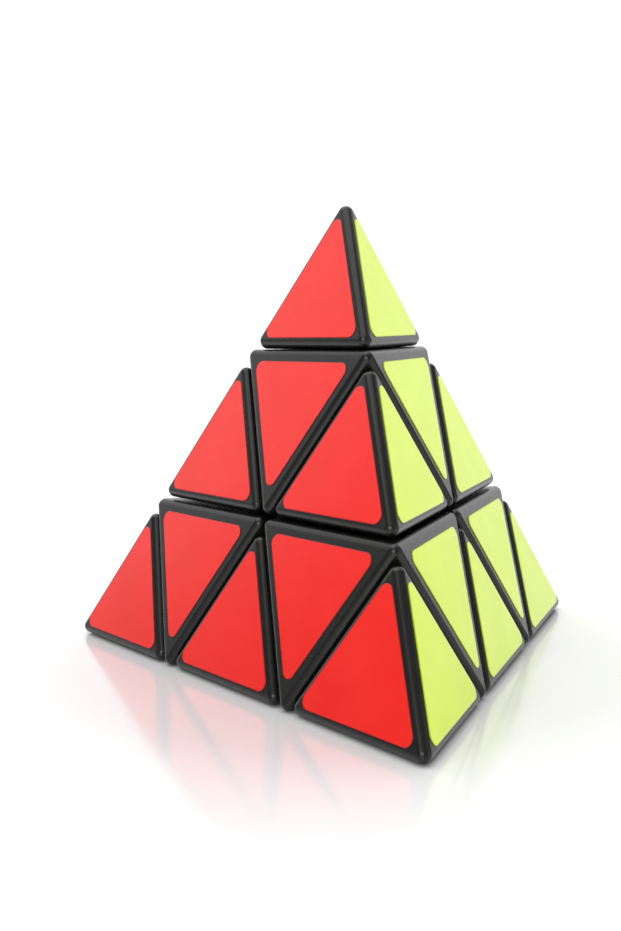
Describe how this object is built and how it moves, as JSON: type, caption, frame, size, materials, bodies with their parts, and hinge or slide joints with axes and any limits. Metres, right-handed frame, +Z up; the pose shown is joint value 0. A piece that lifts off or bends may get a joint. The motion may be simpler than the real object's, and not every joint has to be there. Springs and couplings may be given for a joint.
{
  "type": "pyramid twisty puzzle",
  "caption": "Four-sided pyramid twist puzzle with turning layers, spinning corner tips, hollow rounded shells and coloured triangle stickers.",
  "frame": {"origin": "centre of the core, where the four turning axes meet", "axes": "+Z up through the top corner, -Y out of the front (red) face side, +X to the right"},
  "size_m": [0.102, 0.0888, 0.0839],
  "materials": {
    "shell_plastic": "gloss, moulded",
    "inner_plastic": "matte, moulded",
    "core_plastic": "matte, moulded",
    "steel": "zinc plated",
    "sticker_red": "satin vinyl film",
    "sticker_yellow": "satin vinyl film",
    "sticker_blue": "satin vinyl film",
    "sticker_green": "satin vinyl film"
  },
  "bodies": {
    "core": {"core": "core_plastic", "core_screw_top": "steel", "core_screw_left": "steel", "core_screw_right": "steel", "core_screw_back": "steel", "spring_top": "steel", "spring_left": "steel", "spring_right": "steel", "spring_back": "steel", "washer_top": "steel", "washer_left": "steel", "washer_right": "steel", "washer_back": "steel"},
    "axial_top": {"axial_shell_top": "shell_plastic", "axial_foot_top": "inner_plastic", "axial_sticker_top": "sticker_red"},
    "axial_left": {"axial_shell_left": "shell_plastic", "axial_foot_left": "inner_plastic", "axial_sticker_left": "sticker_blue"},
    "axial_right": {"axial_shell_right": "shell_plastic", "axial_foot_right": "inner_plastic", "axial_sticker_right": "sticker_yellow"},
    "axial_back": {"axial_shell_back": "shell_plastic", "axial_foot_back": "inner_plastic", "axial_sticker_back": "sticker_green"},
    "tip_top": {"tip_cap_top": "shell_plastic", "tip_base_top": "inner_plastic", "tip_sticker_top": "sticker_red"},
    "tip_left": {"tip_cap_left": "shell_plastic", "tip_base_left": "inner_plastic", "tip_sticker_left": "sticker_blue"},
    "tip_right": {"tip_cap_right": "shell_plastic", "tip_base_right": "inner_plastic", "tip_sticker_right": "sticker_yellow"},
    "tip_back": {"tip_cap_back": "shell_plastic", "tip_base_back": "inner_plastic", "tip_sticker_back": "sticker_green"},
    "edge_top_left": {"edge_shell_top_left": "shell_plastic", "edge_foot_top_left": "inner_plastic", "edge_sticker_top_left": "sticker_red"},
    "edge_top_right": {"edge_shell_top_right": "shell_plastic", "edge_foot_top_right": "inner_plastic", "edge_sticker_top_right": "sticker_yellow"},
    "edge_top_back": {"edge_shell_top_back": "shell_plastic", "edge_foot_top_back": "inner_plastic", "edge_sticker_top_back": "sticker_blue"},
    "edge_left_right": {"edge_shell_left_right": "shell_plastic", "edge_foot_left_right": "inner_plastic", "edge_sticker_left_right": "sticker_green"},
    "edge_left_back": {"edge_shell_left_back": "shell_plastic", "edge_foot_left_back": "inner_plastic", "edge_sticker_left_back": "sticker_blue"},
    "edge_right_back": {"edge_shell_right_back": "shell_plastic", "edge_foot_right_back": "inner_plastic", "edge_sticker_right_back": "sticker_yellow"}
  },
  "joints": [
    {"name": "turn_top", "type": "hinge", "parent": "core", "child": "axial_top", "pos_m": [0, 0, 0], "axis": [0, 0, 1], "range_deg": [-120, 240]},
    {"name": "turn_left", "type": "hinge", "parent": "core", "child": "axial_left", "pos_m": [0, 0, 0], "axis": [-0.8165, -0.4714, -0.3333], "range_deg": [-120, 240]},
    {"name": "turn_right", "type": "hinge", "parent": "core", "child": "axial_right", "pos_m": [0, 0, 0], "axis": [0.8165, -0.4714, -0.3333], "range_deg": [-120, 240]},
    {"name": "turn_back", "type": "hinge", "parent": "core", "child": "axial_back", "pos_m": [0, 0, 0], "axis": [0, 0.9428, -0.3333], "range_deg": [-120, 240]},
    {"name": "spin_tip_top", "type": "hinge", "parent": "axial_top", "child": "tip_top", "pos_m": [0, 0, 0], "axis": [0, 0, 1], "continuous": true},
    {"name": "spin_tip_left", "type": "hinge", "parent": "axial_left", "child": "tip_left", "pos_m": [0, 0, 0], "axis": [-0.8165, -0.4714, -0.3333], "continuous": true},
    {"name": "spin_tip_right", "type": "hinge", "parent": "axial_right", "child": "tip_right", "pos_m": [0, 0, 0], "axis": [0.8165, -0.4714, -0.3333], "continuous": true},
    {"name": "spin_tip_back", "type": "hinge", "parent": "axial_back", "child": "tip_back", "pos_m": [0, 0, 0], "axis": [0, 0.9428, -0.3333], "continuous": true},
    {"name": "carry_top_left", "type": "hinge", "parent": "axial_top", "child": "edge_top_left", "pos_m": [0, 0, 0], "axis": [-0.8165, -0.4714, -0.3333], "range_deg": [-120, 240]},
    {"name": "carry_top_right", "type": "hinge", "parent": "axial_top", "child": "edge_top_right", "pos_m": [0, 0, 0], "axis": [0.8165, -0.4714, -0.3333], "range_deg": [-120, 240]},
    {"name": "carry_top_back", "type": "hinge", "parent": "axial_top", "child": "edge_top_back", "pos_m": [0, 0, 0], "axis": [0, 0.9428, -0.3333], "range_deg": [-120, 240]},
    {"name": "carry_left_right", "type": "hinge", "parent": "axial_right", "child": "edge_left_right", "pos_m": [0, 0, 0], "axis": [-0.8165, -0.4714, -0.3333], "range_deg": [-120, 240]},
    {"name": "carry_left_back", "type": "hinge", "parent": "axial_left", "child": "edge_left_back", "pos_m": [0, 0, 0], "axis": [0, 0.9428, -0.3333], "range_deg": [-120, 240]},
    {"name": "carry_right_back", "type": "hinge", "parent": "axial_back", "child": "edge_right_back", "pos_m": [0, 0, 0], "axis": [0.8165, -0.4714, -0.3333], "range_deg": [-120, 240]}
  ],
  "couplings": [
    {"joint": "carry_top_left", "follows": "turn_left", "ratio": 1},
    {"joint": "carry_top_right", "follows": "turn_right", "ratio": 1},
    {"joint": "carry_top_back", "follows": "turn_back", "ratio": 1},
    {"joint": "carry_left_right", "follows": "turn_left", "ratio": 1},
    {"joint": "carry_left_back", "follows": "turn_back", "ratio": 1},
    {"joint": "carry_right_back", "follows": "turn_right", "ratio": 1}
  ]
}
